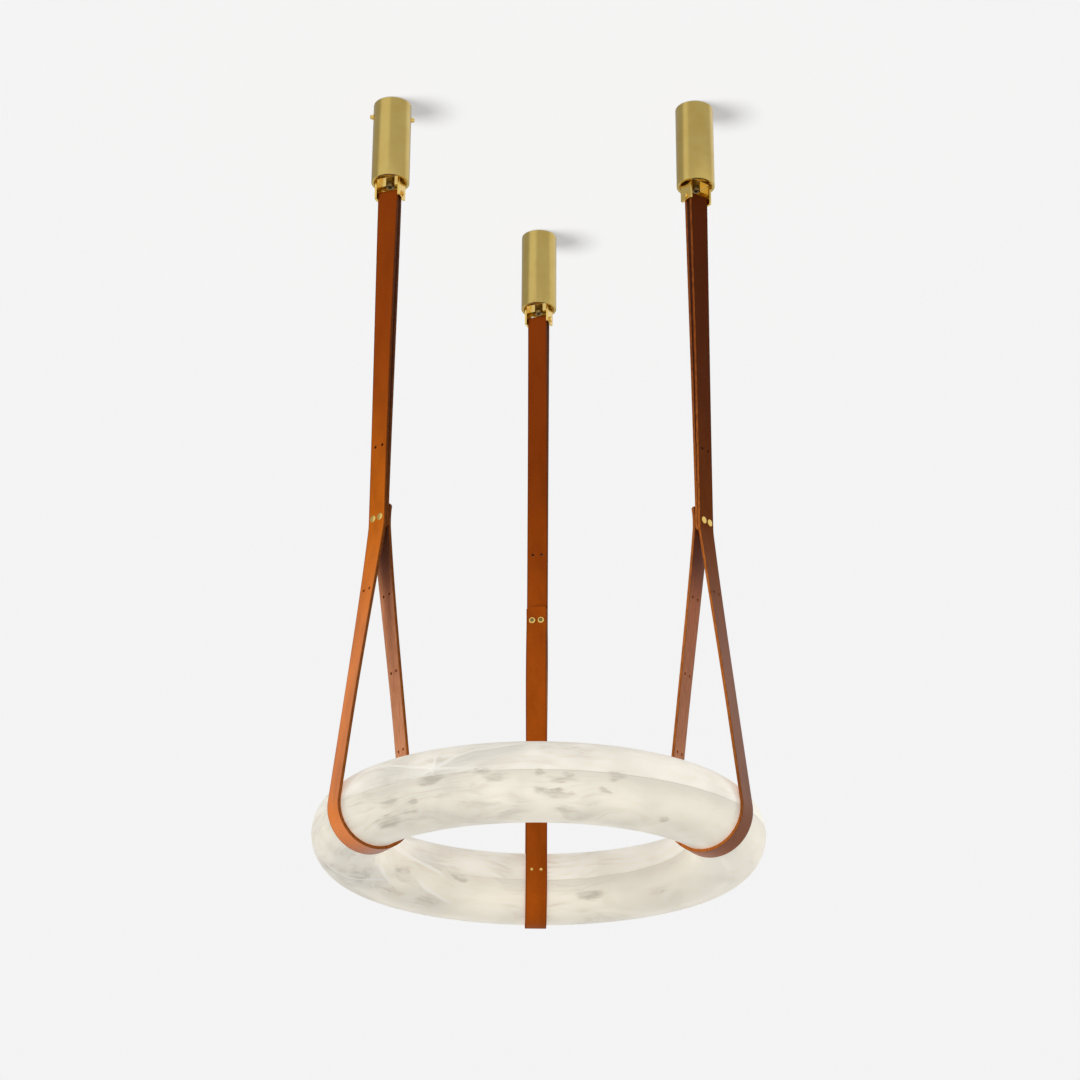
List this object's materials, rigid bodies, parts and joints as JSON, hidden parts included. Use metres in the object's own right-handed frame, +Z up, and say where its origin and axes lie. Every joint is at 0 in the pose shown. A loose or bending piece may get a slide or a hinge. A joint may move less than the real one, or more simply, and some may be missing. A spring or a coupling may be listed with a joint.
{
  "type": "ring pendant light",
  "caption": "Hollow alabaster ring light slung level in leather straps that fold over clevis pins under brass ceiling canisters.",
  "frame": {"origin": "in the ceiling plane, midway between the canisters, on the ring's axis", "axes": "+Z up, along the ring's axis; +Y towards the rear canister; +X to the right as seen from the front"},
  "size_m": [0.6, 0.6049, 1.1048],
  "materials": {
    "alabaster": "polished alabaster, cream white with soft grey veins",
    "brass": "satin brass",
    "leather": "smooth cognac saddle leather",
    "steel": "zinc-plated steel",
    "aluminium": "plain aluminium",
    "circuit_board": "white flexible board",
    "rubber": "black rubber",
    "driver_case": "white plastic case",
    "terminal_plastic": "natural nylon"
  },
  "bodies": {
    "ceiling_mount": {"ceiling_plate_left": "steel", "hanger_rod_left": "steel", "rod_nuts_left": "steel", "bottom_plate_left": "brass", "clevis_left": "brass", "clevis_bolt_left": "brass", "clevis_pin_left": "brass", "pin_clip_left": "brass", "ceiling_plate_right": "steel", "hanger_rod_right": "steel", "rod_nuts_right": "steel", "bottom_plate_right": "brass", "clevis_right": "brass", "clevis_bolt_right": "brass", "clevis_pin_right": "brass", "pin_clip_right": "brass", "ceiling_plate_rear": "steel", "hanger_rod_rear": "steel", "rod_nuts_rear": "steel", "bottom_plate_rear": "brass", "clevis_rear": "brass", "clevis_bolt_rear": "brass", "clevis_pin_rear": "brass", "pin_clip_rear": "brass", "led_driver": "driver_case", "driver_pad": "rubber", "terminal_block": "terminal_plastic", "mains_grommet": "rubber"},
    "ring": {"ring_upper_shell": "alabaster", "ring_lower_shell": "alabaster", "led_carrier": "aluminium", "led_strip_outer": "circuit_board", "led_strip_inner": "circuit_board", "carrier_feet": "rubber", "feed_grommet": "rubber"},
    "side_screw_a": {"side_screw_a": "brass"},
    "side_screw_b": {"side_screw_b": "brass"},
    "cover_left": {"cover_tube_left": "brass"},
    "strap_left": {"strap_left": "leather", "strap_posts_left": "brass", "strap_screws_left": "brass", "ring_studs_left": "brass"},
    "cover_right": {"cover_tube_right": "brass"},
    "strap_right": {"strap_right": "leather", "strap_posts_right": "brass", "strap_screws_right": "brass", "ring_studs_right": "brass"},
    "cover_rear": {"cover_tube_rear": "brass"},
    "strap_rear": {"strap_rear": "leather", "strap_posts_rear": "brass", "strap_screws_rear": "brass", "ring_studs_rear": "brass"}
  },
  "joints": [
    {"name": "sway", "type": "hinge", "parent": "ceiling_mount", "child": "strap_rear", "pos_m": [0, 0.25, -0.147], "axis": [0.9336, -0.3584, 0], "range_deg": [-2, 2]},
    {"name": "strap_left_swing", "type": "hinge", "parent": "ceiling_mount", "child": "strap_left", "pos_m": [-0.21651, -0.125, -0.147], "axis": [0.9336, -0.3584, 0], "range_deg": [-2, 2]},
    {"name": "strap_right_swing", "type": "hinge", "parent": "ceiling_mount", "child": "strap_right", "pos_m": [0.21651, -0.125, -0.147], "axis": [0.9336, -0.3584, 0], "range_deg": [-2, 2]},
    {"name": "ring_level", "type": "hinge", "parent": "strap_rear", "child": "ring", "pos_m": [0, 0.25, -1.05], "axis": [0.9336, -0.3584, 0], "range_deg": [-2, 2]},
    {"name": "cover_left_slide", "type": "slide", "parent": "ceiling_mount", "child": "cover_left", "axis": [0, 0, 1], "range_m": [-0.11, 0]},
    {"name": "cover_right_slide", "type": "slide", "parent": "ceiling_mount", "child": "cover_right", "axis": [0, 0, 1], "range_m": [-0.11, 0]},
    {"name": "cover_rear_slide", "type": "slide", "parent": "ceiling_mount", "child": "cover_rear", "axis": [0, 0, 1], "range_m": [-0.11, 0]},
    {"name": "side_screw_a_turn", "type": "hinge", "parent": "cover_left", "child": "side_screw_a", "pos_m": [-0.18971, -0.12171, -0.02], "axis": [0.9925, 0.1219, 0], "range_deg": [0, 720]},
    {"name": "side_screw_b_turn", "type": "hinge", "parent": "cover_left", "child": "side_screw_b", "pos_m": [-0.2433, -0.12829, -0.02], "axis": [-0.9925, -0.1219, 0], "range_deg": [0, 720]}
  ],
  "couplings": [
    {"joint": "strap_left_swing", "follows": "sway", "ratio": 1},
    {"joint": "strap_right_swing", "follows": "sway", "ratio": 1},
    {"joint": "ring_level", "follows": "sway", "ratio": -1}
  ]
}
